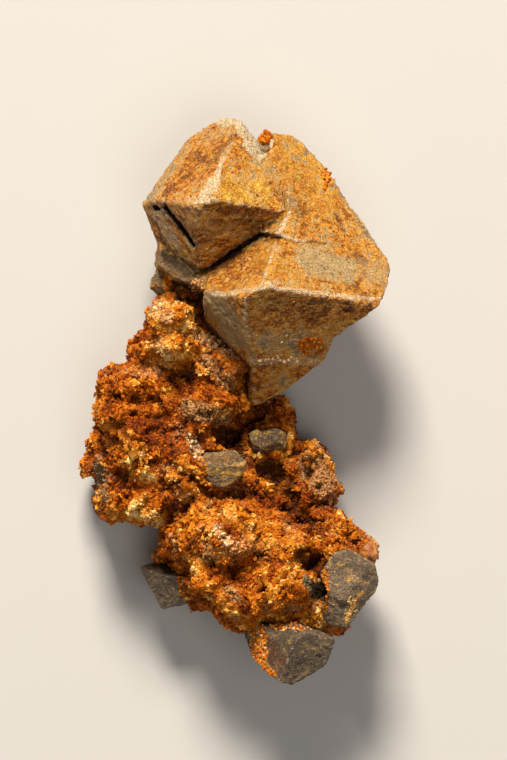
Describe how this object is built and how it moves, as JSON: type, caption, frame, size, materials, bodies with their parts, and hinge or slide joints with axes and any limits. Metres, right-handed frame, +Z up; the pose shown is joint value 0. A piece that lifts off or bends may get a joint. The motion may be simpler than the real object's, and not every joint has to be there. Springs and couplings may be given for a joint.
{
  "type": "stolzite crystals on matrix",
  "caption": "Natural mineral specimen: grey, rust-stained stolzite dipyramids grown on a drusy orange-brown limonite matrix, lying on its flat back.",
  "frame": {"origin": "middle of the footprint's box, on the flat back that the specimen rests on", "axes": "+Z up out of the flat back towards the crystal faces, +Y along the specimen towards the big crystals, +X across it"},
  "size_m": [0.0246, 0.0454, 0.0175],
  "materials": {
    "matrix": "rough, drusy and dull with fine glints",
    "crystal": "dull to faintly satin, rust-stained"
  },
  "bodies": {
    "root": {"matrix": "matrix", "stolzite_main": "crystal", "stolzite_left": "crystal", "stolzite_foot": "crystal", "stolzite_right": "crystal", "stolzite_centre": "crystal", "stolzite_cavity": "crystal"}
  },
  "joints": []
}
